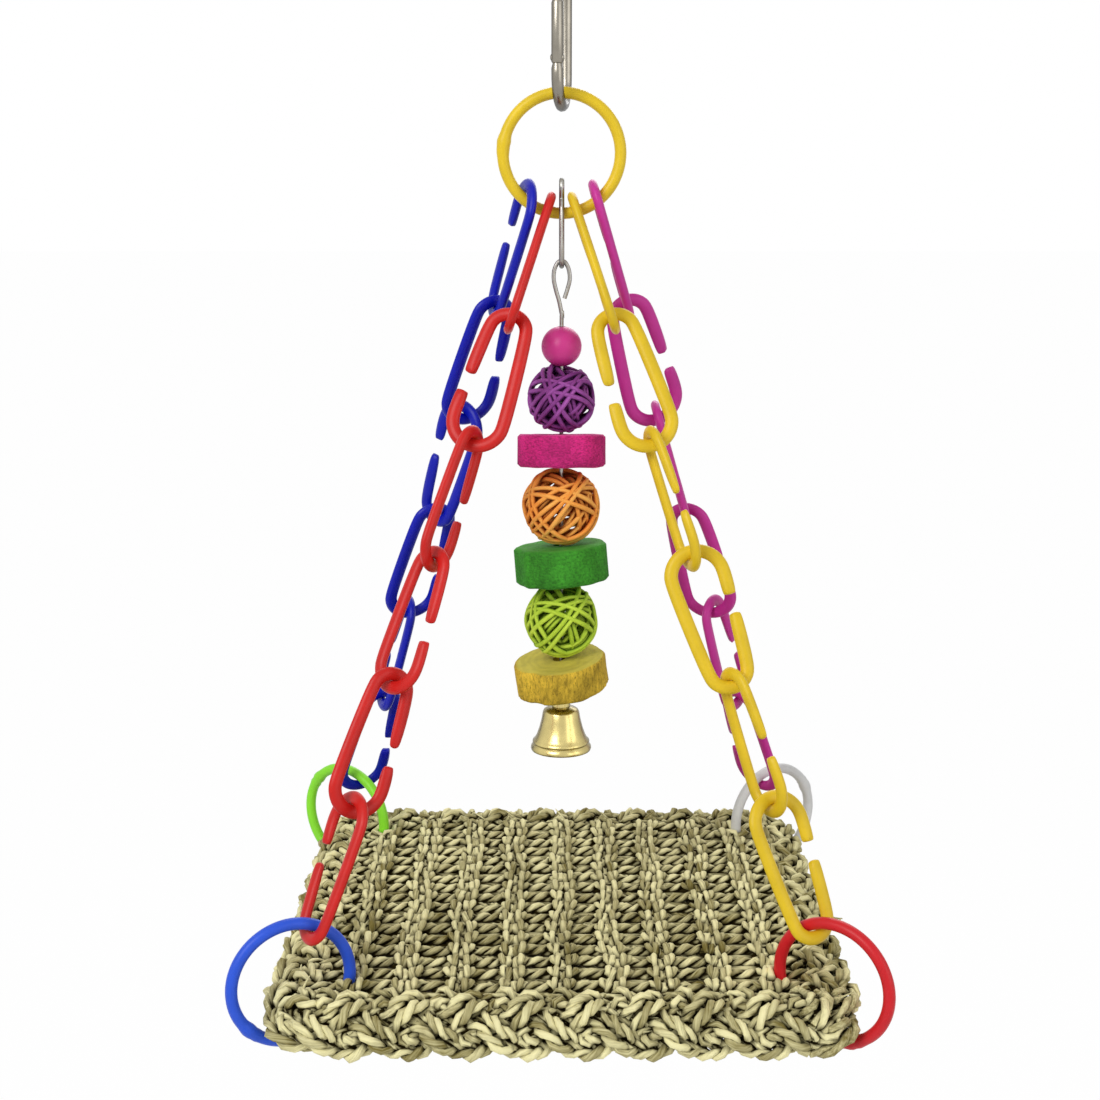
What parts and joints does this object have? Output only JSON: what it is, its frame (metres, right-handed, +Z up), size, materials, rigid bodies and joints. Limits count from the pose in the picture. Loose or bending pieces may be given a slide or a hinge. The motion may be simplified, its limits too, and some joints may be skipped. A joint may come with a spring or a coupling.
{
  "type": "bird hammock",
  "caption": "Hanging perch for a cage bird: a woven seagrass mat on chains of open plastic links under a ring and snap clip, with a string of vine balls, wood slices and a bell.",
  "frame": {"origin": "inside the top bow of the snap clip, where it rests on what it is hung on", "axes": "+Z up along the hang, +Y towards the back, +X to the right seen from the front"},
  "size_m": [0.2143, 0.196, 0.35],
  "materials": {
    "clip_steel": "bright plated wire",
    "wire_steel": "drawn wire",
    "yellow_ring": "moulded, lightly glossy",
    "red_link": "moulded, lightly glossy",
    "blue_link": "moulded, lightly glossy",
    "yellow_link": "moulded, lightly glossy",
    "pink_link": "moulded, lightly glossy",
    "blue_ring": "moulded, lightly glossy",
    "red_ring": "moulded, lightly glossy",
    "lime_ring": "moulded, lightly glossy",
    "white_ring": "moulded, lightly glossy",
    "pink_bead": "moulded, lightly glossy",
    "purple_vine_ball": "dyed vine",
    "orange_vine_ball": "dyed vine",
    "lime_vine_ball": "dyed vine",
    "pink_wood_slice": "dyed, sawn",
    "green_wood_slice": "dyed, sawn",
    "ochre_wood_slice": "dyed, rough bark side",
    "bell_brass": "plated, satin",
    "seagrass": "twisted dry seagrass cord"
  },
  "bodies": {
    "clip": {"clip_body": "clip_steel", "gate_pin": "clip_steel"},
    "gate": {"clip_gate": "clip_steel", "gate_spring": "clip_steel"},
    "top_ring": {"top_ring": "yellow_ring"},
    "mat": {"mat_field": "seagrass", "front_braid": "seagrass", "back_braid": "seagrass", "left_braid": "seagrass", "right_braid": "seagrass"},
    "red_link_1": {"red_link_1": "red_link"},
    "red_link_2": {"red_link_2": "red_link"},
    "red_link_3": {"red_link_3": "red_link"},
    "red_link_4": {"red_link_4": "red_link"},
    "red_link_5": {"red_link_5": "red_link"},
    "red_link_6": {"red_link_6": "red_link"},
    "blue_link_1": {"blue_link_1": "blue_link"},
    "blue_link_2": {"blue_link_2": "blue_link"},
    "blue_link_3": {"blue_link_3": "blue_link"},
    "blue_link_4": {"blue_link_4": "blue_link"},
    "blue_link_5": {"blue_link_5": "blue_link"},
    "blue_link_6": {"blue_link_6": "blue_link"},
    "yellow_link_1": {"yellow_link_1": "yellow_link"},
    "yellow_link_2": {"yellow_link_2": "yellow_link"},
    "yellow_link_3": {"yellow_link_3": "yellow_link"},
    "yellow_link_4": {"yellow_link_4": "yellow_link"},
    "yellow_link_5": {"yellow_link_5": "yellow_link"},
    "yellow_link_6": {"yellow_link_6": "yellow_link"},
    "pink_link_1": {"pink_link_1": "pink_link"},
    "pink_link_2": {"pink_link_2": "pink_link"},
    "pink_link_3": {"pink_link_3": "pink_link"},
    "pink_link_4": {"pink_link_4": "pink_link"},
    "pink_link_5": {"pink_link_5": "pink_link"},
    "pink_link_6": {"pink_link_6": "pink_link"},
    "front_left_ring": {"front_left_ring": "blue_ring"},
    "back_left_ring": {"back_left_ring": "lime_ring"},
    "front_right_ring": {"front_right_ring": "red_ring"},
    "back_right_ring": {"back_right_ring": "white_ring"},
    "toy_hook": {"toy_hook": "wire_steel"},
    "toy_wire": {"toy_wire": "wire_steel"},
    "bead": {"bead": "pink_bead"},
    "purple_vine_ball": {"purple_vine_ball": "purple_vine_ball"},
    "pink_wood_slice": {"pink_wood_slice": "pink_wood_slice"},
    "orange_vine_ball": {"orange_vine_ball": "orange_vine_ball"},
    "green_wood_slice": {"green_wood_slice": "green_wood_slice"},
    "lime_vine_ball": {"lime_vine_ball": "lime_vine_ball"},
    "ochre_wood_slice": {"ochre_wood_slice": "ochre_wood_slice"},
    "bell": {"bell": "bell_brass"},
    "clapper": {"clapper": "wire_steel"}
  },
  "joints": [
    {"name": "gate_open", "type": "hinge", "parent": "clip", "child": "gate", "pos_m": [-0.00156, -0.00988, -0.029], "axis": [-0.9877, 0.1564, 0], "range_deg": [0, 28], "stiffness_Nm_per_rad": 0.02, "springref_deg": -17.19},
    {"name": "ring_swing", "type": "hinge", "parent": "clip", "child": "top_ring", "pos_m": [0, 0, -0.0596], "axis": [0, 1, 0], "range_deg": [-20, 20]},
    {"name": "mat_swing", "type": "hinge", "parent": "top_ring", "child": "mat", "pos_m": [0, 0, -0.07785], "axis": [1, 0, 0], "range_deg": [-15, 15]},
    {"name": "red_link_1_twist", "type": "hinge", "parent": "mat", "child": "red_link_1", "pos_m": [-0.01083, -0.00578, -0.09612], "axis": [0.3009, 0.3033, 0.9041], "range_deg": [-5, 5]},
    {"name": "red_link_2_twist", "type": "hinge", "parent": "mat", "child": "red_link_2", "pos_m": [-0.02365, -0.0187, -0.13463], "axis": [0.3009, 0.3033, 0.9041], "range_deg": [-10, 10]},
    {"name": "red_link_3_twist", "type": "hinge", "parent": "mat", "child": "red_link_3", "pos_m": [-0.03647, -0.03162, -0.17315], "axis": [0.3009, 0.3033, 0.9041], "range_deg": [-10, 10]},
    {"name": "red_link_4_twist", "type": "hinge", "parent": "mat", "child": "red_link_4", "pos_m": [-0.04929, -0.04454, -0.21167], "axis": [0.3009, 0.3033, 0.9041], "range_deg": [-10, 10]},
    {"name": "red_link_5_twist", "type": "hinge", "parent": "mat", "child": "red_link_5", "pos_m": [-0.06211, -0.05746, -0.25018], "axis": [0.3009, 0.3033, 0.9041], "range_deg": [-10, 10]},
    {"name": "red_link_6_twist", "type": "hinge", "parent": "mat", "child": "red_link_6", "pos_m": [-0.07493, -0.07038, -0.2887], "axis": [0.3009, 0.3033, 0.9041], "range_deg": [-10, 10]},
    {"name": "blue_link_1_twist", "type": "hinge", "parent": "mat", "child": "blue_link_1", "pos_m": [-0.01732, 0.00515, -0.09237], "axis": [0.2772, -0.2786, 0.9196], "range_deg": [-5, 5]},
    {"name": "blue_link_2_twist", "type": "hinge", "parent": "mat", "child": "blue_link_2", "pos_m": [-0.02913, 0.01701, -0.13154], "axis": [0.2772, -0.2786, 0.9196], "range_deg": [-10, 10]},
    {"name": "blue_link_3_twist", "type": "hinge", "parent": "mat", "child": "blue_link_3", "pos_m": [-0.04093, 0.02888, -0.17072], "axis": [0.2772, -0.2786, 0.9196], "range_deg": [-10, 10]},
    {"name": "blue_link_4_twist", "type": "hinge", "parent": "mat", "child": "blue_link_4", "pos_m": [-0.05274, 0.04075, -0.20989], "axis": [0.2772, -0.2786, 0.9196], "range_deg": [-10, 10]},
    {"name": "blue_link_5_twist", "type": "hinge", "parent": "mat", "child": "blue_link_5", "pos_m": [-0.06455, 0.05261, -0.24906], "axis": [0.2772, -0.2786, 0.9196], "range_deg": [-10, 10]},
    {"name": "blue_link_6_twist", "type": "hinge", "parent": "mat", "child": "blue_link_6", "pos_m": [-0.07636, 0.06448, -0.28823], "axis": [0.2772, -0.2786, 0.9196], "range_deg": [-10, 10]},
    {"name": "yellow_link_1_twist", "type": "hinge", "parent": "mat", "child": "yellow_link_1", "pos_m": [0.01088, -0.00569, -0.09613], "axis": [-0.3035, 0.2989, 0.9047], "range_deg": [-5, 5]},
    {"name": "yellow_link_2_twist", "type": "hinge", "parent": "mat", "child": "yellow_link_2", "pos_m": [0.02381, -0.01843, -0.13467], "axis": [-0.3035, 0.2989, 0.9047], "range_deg": [-10, 10]},
    {"name": "yellow_link_3_twist", "type": "hinge", "parent": "mat", "child": "yellow_link_3", "pos_m": [0.03674, -0.03116, -0.17321], "axis": [-0.3035, 0.2989, 0.9047], "range_deg": [-10, 10]},
    {"name": "yellow_link_4_twist", "type": "hinge", "parent": "mat", "child": "yellow_link_4", "pos_m": [0.04967, -0.04389, -0.21175], "axis": [-0.3035, 0.2989, 0.9047], "range_deg": [-10, 10]},
    {"name": "yellow_link_5_twist", "type": "hinge", "parent": "mat", "child": "yellow_link_5", "pos_m": [0.0626, -0.05662, -0.25029], "axis": [-0.3035, 0.2989, 0.9047], "range_deg": [-10, 10]},
    {"name": "yellow_link_6_twist", "type": "hinge", "parent": "mat", "child": "yellow_link_6", "pos_m": [0.07553, -0.06936, -0.28884], "axis": [-0.3035, 0.2989, 0.9047], "range_deg": [-10, 10]},
    {"name": "pink_link_1_twist", "type": "hinge", "parent": "mat", "child": "pink_link_1", "pos_m": [0.01732, 0.00515, -0.09237], "axis": [-0.2772, -0.2786, 0.9196], "range_deg": [-5, 5]},
    {"name": "pink_link_2_twist", "type": "hinge", "parent": "mat", "child": "pink_link_2", "pos_m": [0.02913, 0.01701, -0.13154], "axis": [-0.2772, -0.2786, 0.9196], "range_deg": [-10, 10]},
    {"name": "pink_link_3_twist", "type": "hinge", "parent": "mat", "child": "pink_link_3", "pos_m": [0.04093, 0.02888, -0.17072], "axis": [-0.2772, -0.2786, 0.9196], "range_deg": [-10, 10]},
    {"name": "pink_link_4_twist", "type": "hinge", "parent": "mat", "child": "pink_link_4", "pos_m": [0.05274, 0.04075, -0.20989], "axis": [-0.2772, -0.2786, 0.9196], "range_deg": [-10, 10]},
    {"name": "pink_link_5_twist", "type": "hinge", "parent": "mat", "child": "pink_link_5", "pos_m": [0.06455, 0.05261, -0.24906], "axis": [-0.2772, -0.2786, 0.9196], "range_deg": [-10, 10]},
    {"name": "pink_link_6_twist", "type": "hinge", "parent": "mat", "child": "pink_link_6", "pos_m": [0.07636, 0.06448, -0.28823], "axis": [-0.2772, -0.2786, 0.9196], "range_deg": [-10, 10]},
    {"name": "front_left_ring_turn", "type": "hinge", "parent": "mat", "child": "front_left_ring", "pos_m": [-0.088, -0.07975, -0.32423], "axis": [-0.4384, 0.8988, 0], "continuous": true},
    {"name": "back_left_ring_turn", "type": "hinge", "parent": "mat", "child": "back_left_ring", "pos_m": [-0.088, 0.07425, -0.32423], "axis": [0.5736, 0.8192, 0], "continuous": true},
    {"name": "front_right_ring_turn", "type": "hinge", "parent": "mat", "child": "front_right_ring", "pos_m": [0.088, -0.08028, -0.32423], "axis": [0.6157, 0.788, 0], "continuous": true},
    {"name": "back_right_ring_turn", "type": "hinge", "parent": "mat", "child": "back_right_ring", "pos_m": [0.088, 0.07425, -0.32423], "axis": [-0.5736, 0.8192, 0], "continuous": true},
    {"name": "toy_swing", "type": "hinge", "parent": "mat", "child": "toy_hook", "pos_m": [0, 0, -0.07955], "axis": [1, 0, 0], "range_deg": [-6, 6]},
    {"name": "string_swing", "type": "hinge", "parent": "toy_hook", "child": "toy_wire", "pos_m": [0, 0, -0.09755], "axis": [0, 1, 0], "range_deg": [-6, 6]},
    {"name": "bead_spin", "type": "hinge", "parent": "toy_wire", "child": "bead", "pos_m": [0, 0, -0.12495], "axis": [0, 0, 1], "continuous": true},
    {"name": "purple_vine_ball_spin", "type": "hinge", "parent": "toy_wire", "child": "purple_vine_ball", "pos_m": [0, 0, -0.14295], "axis": [0, 0, 1], "continuous": true},
    {"name": "pink_wood_slice_spin", "type": "hinge", "parent": "toy_wire", "child": "pink_wood_slice", "pos_m": [0, 0, -0.16151], "axis": [0, 0, 1], "continuous": true},
    {"name": "orange_vine_ball_spin", "type": "hinge", "parent": "toy_wire", "child": "orange_vine_ball", "pos_m": [0, 0, -0.18139], "axis": [0, 0, 1], "continuous": true},
    {"name": "green_wood_slice_spin", "type": "hinge", "parent": "toy_wire", "child": "green_wood_slice", "pos_m": [0, 0, -0.202], "axis": [0, 0, 1], "continuous": true},
    {"name": "lime_vine_ball_spin", "type": "hinge", "parent": "toy_wire", "child": "lime_vine_ball", "pos_m": [0, 0, -0.22247], "axis": [0, 0, 1], "continuous": true},
    {"name": "ochre_wood_slice_spin", "type": "hinge", "parent": "toy_wire", "child": "ochre_wood_slice", "pos_m": [0, 0, -0.24272], "axis": [0, 0, 1], "continuous": true},
    {"name": "bell_spin", "type": "hinge", "parent": "toy_wire", "child": "bell", "pos_m": [0, 0, -0.24953], "axis": [0, 0, 1], "continuous": true},
    {"name": "clapper_swing", "type": "hinge", "parent": "toy_wire", "child": "clapper", "pos_m": [0, 0, -0.26174], "axis": [0, 1, 0], "range_deg": [-15, 15]}
  ]
}
